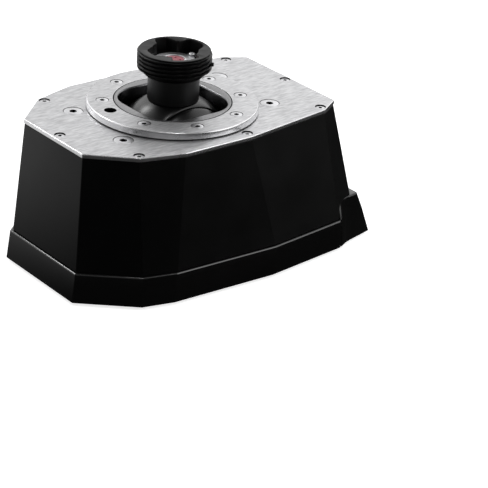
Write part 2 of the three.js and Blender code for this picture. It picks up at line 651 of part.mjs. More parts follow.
// Metal shell of the grip's electrical socket, with a flange and one ear for its screw.
function gripSocket() {
  const [x, y] = SOCKET_SCREW_PLACE;
  const flangeZ = COLLAR_FLOOR_Z + GAP;
  const barrel = rod(SOCKET_RADIUS, [0, 0, COLLAR_BOTTOM_Z - 3], [0, 0, SOCKET_TOP_Z]);
  const flange = rod(SOCKET_FLANGE, [0, 0, flangeZ], [0, 0, SOCKET_FLANGE_TOP_Z]);
  const ear = rod(SOCKET_EAR, [x, y, flangeZ], [x, y, SOCKET_FLANGE_TOP_Z]);
  const cup = rod(SOCKET_BORE, [0, 0, COLLAR_FLOOR_Z], [0, 0, SOCKET_TOP_Z + 1]);
  const hole = rod(SOCKET_SCREW_RADIUS + FIT, [x, y, flangeZ - 1], [x, y, SOCKET_TOP_Z], COARSE);
  return cut(join(barrel, flange, ear), cup, hole);
}

function socketInsert() {
  const body = rod(SOCKET_BORE - FIT, [0, 0, COLLAR_FLOOR_Z + FIT], [0, 0, SOCKET_TOP_Z - 0.5]);
  const holes = [45, 135, 180, 225, 315].map((degrees) => {
    const [x, y] = onCircle(2.6, degrees);
    return rod(0.55, [x, y, COLLAR_FLOOR_Z + 0.7], [x, y, SOCKET_TOP_Z], 8);
  });
  return cut(body, ...holes);
}

function socketScrew() {
  const [x, y] = SOCKET_SCREW_PLACE;
  const headZ = SOCKET_FLANGE_TOP_Z + GAP;
  const headTop = headZ + SOCKET_SCREW_HEAD_HEIGHT;
  const shank = rod(SOCKET_SCREW_RADIUS, [x, y, COLLAR_BOTTOM_Z + 0.4], [x, y, headZ + 0.1], COARSE);
  const head = rod(SOCKET_SCREW_HEAD, [x, y, headZ], [x, y, headTop], MEDIUM);
  return join(shank, head);
}

// Coil spring between two points, as a bent round wire.
function coilSpring(from, to) {
  const start = new THREE.Vector3(...from);
  const along = new THREE.Vector3(...to).sub(start);
  const turn = new THREE.Quaternion().setFromUnitVectors(
    new THREE.Vector3(0, 0, 1),
    along.clone().normalize(),
  );
  const steps = SPRING_TURNS * SPRING_STEPS;
  const wire = Array.from({ length: steps + 1 }, (_, i) => {
    const angle = (i / SPRING_STEPS) * 2 * Math.PI;
    const rise = SPRING_WIRE + (i / steps) * (along.length() - 2 * SPRING_WIRE);
    const point = new THREE.Vector3(SPRING_RADIUS * Math.cos(angle), SPRING_RADIUS * Math.sin(angle), rise);
    return point.applyQuaternion(turn).add(start);
  });
  const path = new THREE.CatmullRomCurve3(wire);
  const section = new THREE.Shape(circle(SPRING_WIRE, 5).map(([x, y]) => new THREE.Vector2(x, y)));
  return toSolid(new THREE.ExtrudeGeometry(section, { extrudePath: path, steps }));
}

function springs() {
  const z = PIVOT_Z - SPRING_DEPTH;
  const legY = -(YOKE_OPENING_Y + YOKE_LEG_THICKNESS / 2);
  const ends = {
    roll_spring_left: [[-YOKE_LEG_HALF_WIDTH - GAP, legY, z], [-SEAT_INNER_X + GAP, legY, z]],
    roll_spring_right: [[YOKE_LEG_HALF_WIDTH + GAP, legY, z], [SEAT_INNER_X - GAP, legY, z]],
    pitch_spring_front: [[0, -4 - GAP, z], [0, -YOKE_OPENING_Y + GAP, z]],
    pitch_spring_rear: [[0, 4 + GAP, z], [0, YOKE_OPENING_Y - GAP, z]],
  };
  return Object.entries(ends).map(([name, [from, to]]) => (
    piece(name, coilSpring(from, to), MATERIALS.steel)
  ));
}

function magnets() {
  const roll = rod(3, [0, ROLL_AXLE_END_Y + GAP, PIVOT_Z], [0, ROLL_AXLE_END_Y + 3, PIVOT_Z], COARSE);
  const pitch = rod(3, [PITCH_AXLE_END_X + GAP, 0, PIVOT_Z], [PITCH_AXLE_END_X + 2.7, 0, PIVOT_Z], COARSE);
  return [piece('roll_magnet', roll, MATERIALS.steel), piece('pitch_magnet', pitch, MATERIALS.steel)];
}

function sensorBoards() {
  const rollY = BLOCK_OUTER_Y + GAP;
  const roll = block([-12, rollY, PIVOT_Z - 10], [12, rollY + BOARD_THICKNESS, PIVOT_Z + 10]);
  const pitchX = YOKE_HALF_X + GAP;
  const pitch = block([pitchX, -9, PIVOT_Z - 7], [pitchX + BOARD_THICKNESS, 9, PIVOT_Z + 7]);
  return [
    piece('roll_sensor_board', roll, MATERIALS.board),
    piece('pitch_sensor_board', pitch, MATERIALS.board),
  ];
}

const model = new THREE.Group();
model.add(
  piece('top_plate', topPlate(), MATERIALS.brushedMetal),
  piece('clamp_ring', clampRing(), MATERIALS.brushedMetal),
  piece('gate_liner', gateLiner(), MATERIALS.gate),
  piece('upper_housing', upperHousing(), MATERIALS.casing),
  piece('lower_housing', lowerHousing(), MATERIALS.glossBlack),
  piece('bottom_cover', bottomCover(), MATERIALS.casing),
  piece('usb_socket', usbSocket(), MATERIALS.steel),
  piece('main_board', mainBoard(), MATERIALS.board),
  piece('gimbal_frame', gimbalFrame(), MATERIALS.alloy),
  piece('roll_yoke', rollYoke(), MATERIALS.alloy),
  piece('pitch_axle', pitchAxle(), MATERIALS.steel),
  piece('stick_hub', stickHub(), MATERIALS.alloy),
  piece('stick_dome', stickDome(), MATERIALS.stickBlack),
  piece('stem_tube', stemTube(), MATERIALS.stickBlack),
  piece('threaded_collar', threadedCollar(), MATERIALS.stickBlack),
  piece('collar_lock_pin', lockPin(), MATERIALS.stickBlack),
  piece('grip_socket', gripSocket(), MATERIALS.steel),
  piece('socket_insert', socketInsert(), MATERIALS.insert),
  piece('socket_screw', socketScrew(), MATERIALS.steel),
);
[[-1, 'left'], [1, 'right']].forEach(([side, word]) => {
  model.add(piece(`yoke_cover_${word}`, yokeCover(side), MATERIALS.stickBlack));
  model.add(piece(`pitch_bearing_${word}`, bearing('pitch', side), MATERIALS.steel));
});
[[-1, 'front'], [1, 'rear']].forEach(([side, word]) => {
  model.add(piece(`roll_axle_${word}`, rollAxle(side), MATERIALS.steel));
  model.add(piece(`roll_bearing_${word}`, bearing('roll', side), MATERIALS.steel));
});
RING_SCREW_PLACES.forEach((place, i) => {
  model.add(piece(`ring_screw_${i + 1}`, screwSolid(RING_SCREW, place), MATERIALS.steel));
});
LARGE_SCREW_PLACES.forEach((place, i) => {
  model.add(piece(`gimbal_screw_${i + 1}`, screwSolid(LARGE_SCREW, place), MATERIALS.steel));
});
SMALL_SCREW_PLACES.forEach((place, i) => {
  model.add(piece(`plate_screw_${i + 1}`, screwSolid(SMALL_SCREW, place), MATERIALS.steel));
});
FEET.forEach((place, i) => {
  model.add(piece(`rubber_foot_${i + 1}`, rubberFoot(place), MATERIALS.rubber));
});
model.add(...springs(), ...magnets(), ...sensorBoards());

// The table is at height 0 and the middle of the box is over the origin.
const frontY = SKIRT_BOTTOM[0][1];
const rearY = BUMP_BOTTOM.at(-1)[1];
model.position.set(0, -(frontY + rearY) / 2, -TABLE_Z);

const joystick = new THREE.Group();
joystick.add(model);

export default joystick;
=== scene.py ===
import json
import math

import bmesh
import bpy
from mathutils import Matrix, Vector


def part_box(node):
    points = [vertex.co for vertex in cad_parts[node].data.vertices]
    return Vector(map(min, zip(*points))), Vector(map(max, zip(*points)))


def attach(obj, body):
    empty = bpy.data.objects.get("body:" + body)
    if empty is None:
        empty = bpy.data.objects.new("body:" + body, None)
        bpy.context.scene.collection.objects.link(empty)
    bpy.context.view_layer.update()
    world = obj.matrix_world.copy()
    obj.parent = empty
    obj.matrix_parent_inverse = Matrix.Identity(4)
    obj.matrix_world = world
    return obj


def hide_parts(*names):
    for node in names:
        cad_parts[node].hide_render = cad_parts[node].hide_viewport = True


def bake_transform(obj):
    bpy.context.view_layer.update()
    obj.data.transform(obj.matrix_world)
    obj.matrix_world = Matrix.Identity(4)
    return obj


# Looks of a flight joystick base. Shapes are drawn in millimetres around the centre of the clamp
# ring, on the upper face of the top plate, and are then put in the frame in metres.
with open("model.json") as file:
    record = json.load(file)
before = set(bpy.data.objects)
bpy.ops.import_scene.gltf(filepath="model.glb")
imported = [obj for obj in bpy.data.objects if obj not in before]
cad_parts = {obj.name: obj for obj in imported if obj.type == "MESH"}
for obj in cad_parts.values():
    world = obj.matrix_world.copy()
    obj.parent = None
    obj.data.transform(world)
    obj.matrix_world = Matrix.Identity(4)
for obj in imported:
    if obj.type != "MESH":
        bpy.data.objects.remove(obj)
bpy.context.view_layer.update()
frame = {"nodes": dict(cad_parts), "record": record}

MM = 0.001
ring_low, ring_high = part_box("clamp_ring")
CENTRE = Vector((
    (ring_low[0] + ring_high[0]) / 2,
    (ring_low[1] + ring_high[1]) / 2,
    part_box("top_plate")[1][2],
))

# Half outlines seen from above, from the front to the rear; the other half mirrors them.
PLATE_OUTLINE = [
    (24.1, -69.3), (41.6, -49.9), (47.9, -28.0), (48.3, 10.8), (41.1, 62.1), (34.2, 73.9),
]
CASING_FOOT = [
    (26.8, -73.4), (47.1, -49.6), (51.7, -33.0), (54.7, 24.0), (49.7, 69.6), (45.6, 82.3),
]
SKIRT_TOP = [
    (27.7, -74.5), (48.1, -50.4), (52.7, -33.8), (55.7, 23.7), (51.1, 69.0), (43.0, 78.0),
]
SKIRT_BOTTOM = [
    (28.2, -76.3), (49.6, -51.5), (53.8, -35.4), (56.8, 21.8), (52.0, 69.5), (43.0, 78.0),
]
BUMP_TOP = [(47.0, 69.9), (45.7, 74.6), (44.6, 79.2), (43.9, 86.3)]
BUMP_MIDDLE = [(51.1, 69.0), (48.5, 75.2), (46.9, 79.6), (44.0, 89.9)]
BUMP_BOTTOM = [(52.0, 69.5), (48.9, 75.7), (47.6, 80.0), (44.2, 95.9)]

GAP = 0.3
PLATE_BOTTOM = -2.0
CASING_TOP = -2.3
CASING_BOTTOM = -57.7
SKIRT_TOP_Z = -58.0
BASE_Z = -72.6
BUMP_TOP_Z = -49.3
TABLE_Z = -74.2
WALL = 2.6

# Radii of upright corners, and of the round along an edge.
CASING_CORNER = 0.9
SKIRT_CORNER = 1.2
BUMP_CORNER = 1.6
PLATE_EDGE = 0.45
SKIRT_EDGE = 0.6
BUMP_EDGE = 0.8
RING_EDGE = 0.7

# Rear cable port, as the corners of its boxes: wall round it, recess and opening to the socket.
PORT_WALL = ((-10.1, 81.4, -68.6), (10.1, 93.4, -55.4))
PORT_RECESS = ((-7.5, 84.0, -66.0), (7.5, 120.0, -58.0))
PORT_OPENING = ((-5.2, 80.0, -64.2), (5.2, 85.0, -59.8))

RING_RADIUS = 41.6
RING_OPENING = 28.8
RING_TOP = 3.95
GATE_BAND = 28.3
GATE_HALF = 23.0
GATE_CORNER = 14.8
GATE_EDGE = 1.1
GATE_FLANGE = 31.0
PLATE_OPENING = 31.4
SIDE_HOLE_RADIUS = 3.0
SIDE_HOLE_ANGLE = -97.3
RING_SCREW_CIRCLE = 34.0

# Screw sizes; past the lit reach a head is painted dark as shade of its countersink.
LARGE_SCREW = {"head": 4.6, "shank": 2.5, "length": 12, "hexagon": 1.6, "top": -0.05, "lit": 9}
SMALL_SCREW = {"head": 2.4, "shank": 1.25, "length": 5, "hexagon": 0.8, "top": -0.45, "lit": 1.8}
RING_SCREW = {"head": 2.95, "shank": 1.5, "length": 8, "hexagon": 1.0, "top": 3.9, "lit": 9}

PIVOT_Z = -22.8
DOME_RADIUS = 30.0
DOME_HALF_WIDTH = 13.0
DOME_LOWEST = 11.2
DOME_WALL = 2.4
COVER_RADIUS = 29.6
COVER_LOWEST = 8.8
COVER_REACH = 27.2
COVER_WALL = 2.2
COVER_SEAM = 0.4

STEM_RADIUS = 12.5
STEM_BORE = 9.3
COLLAR_BOTTOM = 17.6
COLLAR_FOOT = 14.4
COLLAR_TOP = 29.75
THREAD_BOTTOM = 20.2
COLLAR_FLOOR = 23.2
COLLAR_BORE = 6.0
COLLAR_RIM = 17.3
THREAD_CREST = 18.0
THREAD_ROOT = 16.8
THREAD_PITCH = 2.0
THREAD_STEPS = 72
# The collar's keyed opening: angle in degrees, radius.
KEYED_OPENING = [
    (-44, 11.0), (-40, 15.0), (12, 15.0), (17, 13.2), (25, 11.4), (56, 11.3), (64, 12.6),
    (73, 14.4), (86, 15.6), (114, 15.8), (121, 14.1), (126, 12.1), (132, 10.9), (138, 10.9),
    (146, 12.2), (153, 14.0), (158, 15.5), (180, 15.8), (187, 13.4), (195, 10.9), (225, 10.9),
    (239, 12.4), (246, 13.4), (279, 13.5), (286, 12.3), (292, 11.0), (316, 11.0),
]
SOCKET_TOP = 25.0
SOCKET_SHEET = 24.1
PIN_ANGLE = 38
PIN_Z = 24.4

# Points round a large and a small circle, and steps round a corner or an edge.
ROUND = 128
SMALL_ROUND = 48
CORNER_STEPS = 4


# ---------------------------------------------------------------- shapes

def mirrored(half):
    """Whole outline from its right half, anticlockwise from above."""
    return list(half) + [(-x, y) for x, y in reversed(half)]


def inset(outline, distance):
    """Outline moved inwards by a distance, corner by corner."""
    lines = []
    for i, (x, y) in enumerate(outline):
        u, v = outline[(i + 1) % len(outline)]
        length = math.hypot(u - x, v - y)
        normal = (-(v - y) / length, (u - x) / length)
        lines.append((normal, normal[0] * x + normal[1] * y + distance))
    moved = []
    for i, ((c, d), offset) in enumerate(lines):
        (a, b), before = lines[i - 1]
        scale = a * d - b * c
        moved.append(((before * d - b * offset) / scale, (a * offset - before * c) / scale))
    return moved


def between(lower, upper, low_z, high_z, z):
    """Outline at height z on the straight loft between two outlines."""
    t = (z - low_z) / (high_z - low_z)
    return [
        (x + (u - x) * t, y + (v - y) * t)
        for (x, y), (u, v) in zip(lower, upper)
    ]


def filleted(outline, radius):
    """Outline with round corners, with the same number of points whatever its shape."""
    points = []
    for i, corner in enumerate(outline):
        here = Vector(corner)
        back = (Vector(outline[i - 1]) - here).normalized()
        ahead = (Vector(outline[(i + 1) % len(outline)]) - here).normalized()
        half = back.angle(ahead) / 2
        centre = here + (back + ahead).normalized() * (radius / math.sin(half))
        start = here + back * (radius / math.tan(half)) - centre
        end = here + ahead * (radius / math.tan(half)) - centre
        for k in range(CORNER_STEPS + 1):
            t = k / CORNER_STEPS
            mixed = (start * (1 - t) + end * t).normalized() * radius
            points.append(tuple(centre + mixed))
    return points


def rounded(outline, distance, radius):
    """Outline moved inwards, with round corners that stay concentric."""
    return filleted(inset(outline, distance), max(radius - distance, 0.15))


def at_height(outline, z):
    """Level loop along an outline."""
    return [(x, y, z) for x, y in outline]


def round_edge(radius, steps=CORNER_STEPS):
    """(distance inwards, height above the edge's start) round a quarter of a circle."""
    turns = [math.pi / 2 * k / steps for k in range(steps + 1)]
    return [(radius * (1 - math.cos(t)), radius * math.sin(t)) for t in turns]


def level(radius, height, count=ROUND, centre=(0, 0)):
    """Level loop about a vertical axis. The radius is a number or a function of the angle."""
    loop = []
    for i in range(count):
        angle = 2 * math.pi * i / count
        r = radius(angle) if callable(radius) else radius
        loop.append((centre[0] + r * math.cos(angle), centre[1] + r * math.sin(angle), height))
    return loop


class Skin:
    """Points and faces of one or more closed surfaces, in millimetres."""

    def __init__(self):
        self.points = []
        self.faces = []

    def tower(self, loops, ring=False):
        """Bridges loops with matching points, and caps both ends or joins them to each other."""
        rows = []
        for loop in loops:
            first = len(self.points)
            self.points.extend(loop)
            rows.append(range(first, len(self.points)))
        pairs = list(zip(rows, rows[1:]))
        if ring:
            pairs.append((rows[-1], rows[0]))
        else:
            self.faces.append(list(reversed(rows[0])))
            self.faces.append(list(rows[-1]))
        for low, high in pairs:
            count = len(low)
            for i in range(count):
                j = (i + 1) % count
                self.faces.append([low[i], low[j], high[j], high[i]])
        return self

    def turned(self, profile, count=ROUND, centre=(0, 0), ring=False):
        """Surface through level loops given as (radius, height)."""
        return self.tower([level(r, z, count, centre) for r, z in profile], ring)

    def sheet(self, rows):
        """Closed surface through open rows that go round a section, with its two ends capped."""
        first = len(self.points)
        count = len(rows[0])
        for row in rows:
            self.points.extend(row)
        total = len(rows)
        for i in range(total):
            j = (i + 1) % total
            for k in range(count - 1):
                a = first + i * count + k
                b = first + j * count + k
                self.faces.append([a, b, b + 1, a + 1])
        self.faces.append([first + i * count for i in range(total)])
        self.faces.append([first + i * count + count - 1 for i in reversed(range(total))])
        return self

    def block(self, low, high):
        """Box between two corners."""
        square = [(low[0], low[1]), (high[0], low[1]), (high[0], high[1]), (low[0], high[1])]
        return self.tower([at_height(square, z) for z in (low[2], high[2])])

    def moved(self, matrix):
        self.points = [tuple(matrix @ Vector(p)) for p in self.points]


def solid(name, skin, index=0):
    """Object with the skin's mesh, still in millimetres, with room for three materials."""
    mesh = bpy.data.meshes.new(name)
    mesh.from_pydata(skin.points, [], skin.faces)
    for _ in range(3):
        mesh.materials.append(None)
    mesh.polygons.foreach_set("material_index", [index] * len(skin.faces))
    bm = bmesh.new()
    bm.from_mesh(mesh)
    bmesh.ops.recalc_face_normals(bm, faces=bm.faces)
    bm.to_mesh(mesh)
    bm.free()
    obj = bpy.data.objects.new(name, mesh)
    bpy.context.collection.objects.link(obj)
    return obj


def combine(obj, skin, operation="DIFFERENCE"):
    """Joins the skin to an object's mesh or cuts it out, for good. A cut's faces get index 1, the
    slot that paints shade on the plate and ring.
    """
    tool = solid("tool", skin, 1 if operation == "DIFFERENCE" else 0)
    modifier = obj.modifiers.new("combine", "BOOLEAN")
    modifier.operation = operation
    modifier.solver = "EXACT"
    modifier.object = tool
    evaluated = obj.evaluated_get(bpy.context.evaluated_depsgraph_get())
    mesh = bpy.data.meshes.new_from_object(evaluated)
    obj.modifiers.clear()
    obj.data = mesh
    bpy.data.objects.remove(tool)


def finished(obj, body, slot, materials, *nodes, sharp=32):
    """Shades a piece, gives it its materials and puts it in the frame in place of CAD nodes.
    With three materials, the second, a dark painted shade, is for cut faces and the third for steep
    outer ones.
    A piece that will bend between two bodies has None for its body."""
    mesh = obj.data
    assert len(mesh.polygons) > 6, obj.name
    mesh.transform(Matrix.Translation(CENTRE) @ Matrix.Scale(MM, 4))
    last = len(materials) - 1
    for k in range(3):
        mesh.materials[k] = materials[min(k, last)]
    for polygon in mesh.polygons:
        polygon.use_smooth = True
        if last == 2 and polygon.material_index == 0 and abs(polygon.normal.z) < 0.93:
            polygon.material_index = 2
    mesh.set_sharp_from_angle(angle=math.radians(sharp))
    if body:
        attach(obj, body)
    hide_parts(*nodes)


def on_circle(radius, degrees):
    angle = math.radians(degrees)
    return (radius * math.cos(angle), radius * math.sin(angle))


def node_place(node):
    """Middle of a CAD node from above, in millimetres round the ring's centre."""
    low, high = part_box(node)
    return (
        ((low[0] + high[0]) / 2 - CENTRE.x) / MM,
        ((low[1] + high[1]) / 2 - CENTRE.y) / MM,
    )


def hexagon(apothem):
    def radius(angle):
        turn = (angle + math.pi / 6) % (math.pi / 3) - math.pi / 6
        return apothem / math.cos(turn)
    return radius


def rounded_square(half, corner):
    """Radius of a square with round corners, as a function of the angle."""
    flat = half - corner

    def radius(angle):
        c, s = abs(math.cos(angle)), abs(math.sin(angle))
        if s * half < c * flat:
            return half / c
        if c * half < s * flat:
            return half / s
        along = flat * (c + s)
        return along + math.sqrt(along * along - 2 * flat * flat + corner * corner)
    return radius


# ---------------------------------------------------------------- materials

NOISE_ROUGHNESS = 0.55
# The part of a noise's range that carries most of it.
NOISE_LOW = 0.3
NOISE_HIGH = 0.7


def new_material(name, **constants):
    """Material whose Principled shader is set from names such as specular_ior_level."""
    material = bpy.data.materials.new(name)
    material.use_nodes = True
    shader = material.node_tree.nodes["Principled BSDF"]
    for key, value in constants.items():
        words = key.replace("_", " ").title().replace("Ior", "IOR")
        shader.inputs[words].default_value = value
    return material, material.node_tree, shader


def noise(tree, stretch, detail=3.0):
    """Noise over object coordinates; stretch gives how many cells there are in a metre each way."""
    place = tree.nodes.new("ShaderNodeTexCoord")
    mapping = tree.nodes.new("ShaderNodeMapping")
    mapping.inputs["Scale"].default_value = stretch
    texture = tree.nodes.new("ShaderNodeTexNoise")
    texture.inputs["Scale"].default_value = 1.0
    texture.inputs["Detail"].default_value = detail
    texture.inputs["Roughness"].default_value = NOISE_ROUGHNESS
    tree.links.new(place.outputs["Object"], mapping.inputs["Vector"])
    tree.links.new(mapping.outputs["Vector"], texture.inputs["Vector"])
    return texture.outputs["Fac"]


def spread(tree, value, low, high):
    """A value from low to high over the middle of the noise's range."""
    node = tree.nodes.new("ShaderNodeMapRange")
    node.inputs["From Min"].default_value = NOISE_LOW
    node.inputs["From Max"].default_value = NOISE_HIGH
    node.inputs["To Min"].default_value = low
    node.inputs["To Max"].default_value = high
    tree.links.new(value, node.inputs["Value"])
    return node.outputs["Result"]


def tint(tree, value, dark, light):
    """A colour between dark and light over the middle of the noise's range."""
    node = tree.nodes.new("ShaderNodeValToRGB")
    ramp = node.color_ramp
    ramp.elements[0].position, ramp.elements[1].position = NOISE_LOW, NOISE_HIGH
    ramp.elements[0].color, ramp.elements[1].color = (*dark, 1), (*light, 1)
    tree.links.new(value, node.inputs["Fac"])
    return node.outputs["Color"]


def bump(tree, shader, height, distance):
    """Fine relief from a height between 0 and 1; distance is its depth in metres."""
    node = tree.nodes.new("ShaderNodeBump")
    node.inputs["Strength"].default_value = 1.0
    node.inputs["Distance"].default_value = distance
    tree.links.new(height, node.inputs["Height"])
    tree.links.new(node.outputs["Normal"], shader.inputs["Normal"])


def brushed_metal(name, dark, light, rough, distance, stretch):
    """Metal with fine streaks: stretch is high across them and low along them."""
    material, tree, shader = new_material(name, metallic=1.0)
    streaks = noise(tree, stretch, detail=3.0)
    clouds = noise(tree, (60, 60, 60), detail=3.0)
    tree.links.new(tint(tree, streaks, dark, light), shader.inputs["Base Color"])
    tree.links.new(spread(tree, clouds, rough[0], rough[1]), shader.inputs["Roughness"])
    bump(tree, shader, streaks, distance)
    return material


def satin_black(name, dark, light, rough, specular, grain, distance):
    """Painted or anodised black with a fine grain of so many cells in a metre."""
    material, tree, shader = new_material(name, specular_ior_level=specular)
    fine = noise(tree, (grain, grain, grain), detail=2.0)
    clouds = noise(tree, (45, 45, 45), detail=3.0)
    tree.links.new(tint(tree, fine, dark, light), shader.inputs["Base Color"])
    tree.links.new(spread(tree, clouds, rough[0], rough[1]), shader.inputs["Roughness"])
    bump(tree, shader, fine, distance)
    return material


def make_materials():
    plate = brushed_metal(
        "brushed_plate", (0.52, 0.52, 0.53), (0.78, 0.78, 0.79), (0.44, 0.52), 0.000016,
        (1100, 190, 1100),
    )
    edge = brushed_metal(
        "plate_edge", (0.66, 0.66, 0.67), (0.86, 0.86, 0.87), (0.24, 0.32), 0.000004,
        (300, 300, 5200),
    )
    return {
        "brushed_plate": plate,
        "plate_edge": edge,
        # Near-black metal for cut faces, gap walls and undersides: painted shade.
        "painted_shade": brushed_metal(
            "painted_shade", (0.008, 0.008, 0.0083), (0.025, 0.025, 0.0255), (0.35, 0.5), 0.000004,
            (900, 900, 900),
        ),
        "gate": brushed_metal(
            "gate", (0.22, 0.22, 0.225), (0.36, 0.36, 0.365), (0.3, 0.42), 0.000006,
            (1500, 1500, 1500),
        ),
        # Darker copy of the gate material for the opening's steep inner wall: painted shade.
        "gate_lip_shade": brushed_metal(
            "gate_lip_shade", (0.1, 0.1, 0.105), (0.2, 0.2, 0.205), (0.2, 0.3), 0.000004,
            (900, 900, 900),
        ),
        "casing": satin_black(
            "casing", (0.0008, 0.0008, 0.00082), (0.002, 0.002, 0.00204), (0.3, 0.38), 0.24,
            5200, 0.000006,
        ),
        "gloss_skirt": satin_black(
            "gloss_skirt", (0.0005, 0.0005, 0.00051), (0.0015, 0.0015, 0.00153), (0.12, 0.18),
            0.6, 900, 0.0000015,
        ),
        "stick_black": satin_black(
            "stick_black", (0.0012, 0.0012, 0.00122), (0.003, 0.003, 0.00306), (0.24, 0.3),
            0.38, 3800, 0.000004,
        ),
        # Lighter, shinier copy of the skirt black for the ledge's upward faces: painted highlight.
        "ledge_edge": satin_black(
            "ledge_edge", (0.004, 0.004, 0.0041), (0.01, 0.01, 0.0102), (0.14, 0.22), 1.0, 900,
            0.000002,
        ),
        "stem_black": satin_black(
            "stem_black", (0.004, 0.004, 0.00408), (0.008, 0.008, 0.00816), (0.36, 0.44), 0.3,
            3800, 0.000004,
        ),
        "collar_black": satin_black(
            "collar_black", (0.0015, 0.0015, 0.0016), (0.004, 0.004, 0.0041), (0.34, 0.44), 0.2,
            3800, 0.000005,
        ),
        "screw_steel": brushed_metal(
            "screw_steel", (0.66, 0.66, 0.6732), (0.84, 0.84, 0.8568), (0.34, 0.44), 0.000005,
            (2400, 2400, 2400),
        ),
        "steel": brushed_metal(
            "steel", (0.5, 0.5, 0.51), (0.68, 0.68, 0.69), (0.2, 0.32), 0.000005,
            (1800, 1800, 1800),
        ),
        "gimbal_alloy": brushed_metal(
            "gimbal_alloy", (0.22, 0.22, 0.23), (0.34, 0.34, 0.35), (0.35, 0.5), 0.00001,
            (2200, 500, 500),
        ),
        "socket_shell": brushed_metal(
            "socket_shell", (0.86, 0.86, 0.8772), (0.96, 0.96, 0.9792), (0.25, 0.35), 0.000003,
            (1500, 1500, 1500),
        ),
        "socket_insert": satin_black(
            "socket_insert", (0.36, 0.1, 0.12), (0.52, 0.17, 0.2), (0.4, 0.55), 0.5, 1500,
            0.000008,
        ),
        "circuit_board": satin_black(
            "circuit_board", (0.01, 0.07, 0.03), (0.02, 0.13, 0.06), (0.4, 0.6), 0.5, 700, 0.00001,
        ),
        "foot_rubber": satin_black(
            "foot_rubber", (0.01, 0.01, 0.01), (0.02, 0.02, 0.02), (0.75, 0.9), 0.3, 2500, 0.00003,
        ),
    }


MATERIALS = make_materials()
# Plate and ring materials; the second paints shade on cut and downward faces.
METAL_SET = [MATERIALS["brushed_plate"], MATERIALS["painted_shade"], MATERIALS["plate_edge"]]
RING_SCREW_NODES = [f"ring_screw_{i}" for i in range(1, 9)]
LARGE_SCREW_NODES = [f"gimbal_screw_{i}" for i in range(1, 5)]
SMALL_SCREW_NODES = [f"plate_screw_{i}" for i in range(1, 9)]


# ---------------------------------------------------------------- top plate and ring

def paint_gap_shade(obj, inside):
    """Marks as cut faces the upright walls whose reach from the middle is inside the gap between
    ring and liner, and whatever faces down; these take the dark cut-face material as painted shade."""
    for polygon in obj.data.polygons:
        reach = math.hypot(polygon.center.x, polygon.center.y)
        upright = abs(polygon.normal.z) < 0.5
        if (inside(reach) and upright) or polygon.normal.z < -0.5:
            polygon.material_index = 1


def screw_hole(skin, kind, place):
    """Adds the hole for a countersunk screw, with a fine chamfer at its rim."""
    head, shank, top = kind["head"] + 0.12, kind["shank"] + 0.12, kind["top"]
    rim = 0.0 if top < 1 else RING_TOP
    skin.turned([
        (shank, top - kind["length"] - 1),
        (shank, top - 0.3 - head + shank),
        (head, top - 0.3),
        (head, rim - 0.15),
        (head + 0.15, rim),
        (head + 0.15, rim + 1),
    ], SMALL_ROUND, place)


def side_hole(skin):
    return skin.turned([(SIDE_HOLE_RADIUS, -10), (SIDE_HOLE_RADIUS, 10)], SMALL_ROUND,
                       on_circle(RING_SCREW_CIRCLE, SIDE_HOLE_ANGLE))


def make_top_plate():
    outline = mirrored(PLATE_OUTLINE)
    levels = [(0.15, PLATE_BOTTOM), (0.0, PLATE_BOTTOM + 0.15)]
    levels += [(d, -PLATE_EDGE + z) for d, z in round_edge(PLATE_EDGE)]
    loops = [at_height(rounded(outline, d, CASING_CORNER), z) for d, z in levels]
    plate = solid("top_plate_shape", Skin().tower(loops))
    combine(plate, Skin().turned([(PLATE_OPENING, -5), (PLATE_OPENING, 5)]))
    holes = side_hole(Skin())
    for node in LARGE_SCREW_NODES:
        screw_hole(holes, LARGE_SCREW, node_place(node))
    for node in SMALL_SCREW_NODES:
        screw_hole(holes, SMALL_SCREW, node_place(node))
    # The hole walls take the dark cut-face material as painted shade.
    combine(plate, holes)
    finished(plate, "base", "brushed_plate", METAL_SET, "top_plate")


def make_clamp_ring():
    profile = [(RING_OPENING, GAP + 0.1), (RING_OPENING + 0.1, GAP)]
    profile += [(RING_RADIUS - 0.4, GAP), (RING_RADIUS, GAP + 0.4)]
    profile += [(RING_RADIUS - d, RING_TOP - RING_EDGE + z) for d, z in round_edge(RING_EDGE)]
    profile += [(RING_OPENING + 0.08, RING_TOP), (RING_OPENING, RING_TOP - 0.08)]
    ring = solid("clamp_ring_shape", Skin().turned(profile, 2 * ROUND, ring=True))
    holes = side_hole(Skin())
    for node in RING_SCREW_NODES:
        screw_hole(holes, RING_SCREW, node_place(node))
    combine(ring, holes)
    # Painted shade on the ring's inner wall and its underside.
    paint_gap_shade(ring, lambda reach: reach < RING_OPENING + 0.05)
    finished(ring, "base", "brushed_plate", METAL_SET, "clamp_ring")


def make_gate_liner():
    bottom = CASING_TOP
    inner = rounded_square(GATE_HALF, GATE_CORNER)
    profile = [(inner, bottom), (GATE_FLANGE, bottom), (GATE_FLANGE, 0.0), (GATE_BAND, 0.0)]
    profile += [(GATE_BAND - d, RING_TOP - 0.08 + z) for d, z in round_edge(0.08, 1)]
    for turn in (90, 67, 45, 22, 0):
        t = math.radians(turn)
        out = GATE_EDGE * (1 - math.cos(t))
        lip = rounded_square(GATE_HALF + out, GATE_CORNER + out)
        profile.append((lip, RING_TOP - GATE_EDGE + GATE_EDGE * math.sin(t)))
    liner = solid("gate_liner_shape", Skin().turned(profile, 2 * ROUND, ring=True))
    # Painted shade on the liner's outer wall and its underside.
    paint_gap_shade(liner, lambda reach: GATE_BAND - 0.05 < reach)
    # The steep inner wall of the opening takes the darker copy as painted shade.
    finished(liner, "base", "gate",
             [MATERIALS["gate"], MATERIALS["painted_shade"], MATERIALS["gate_lip_shade"]], "gate_liner")


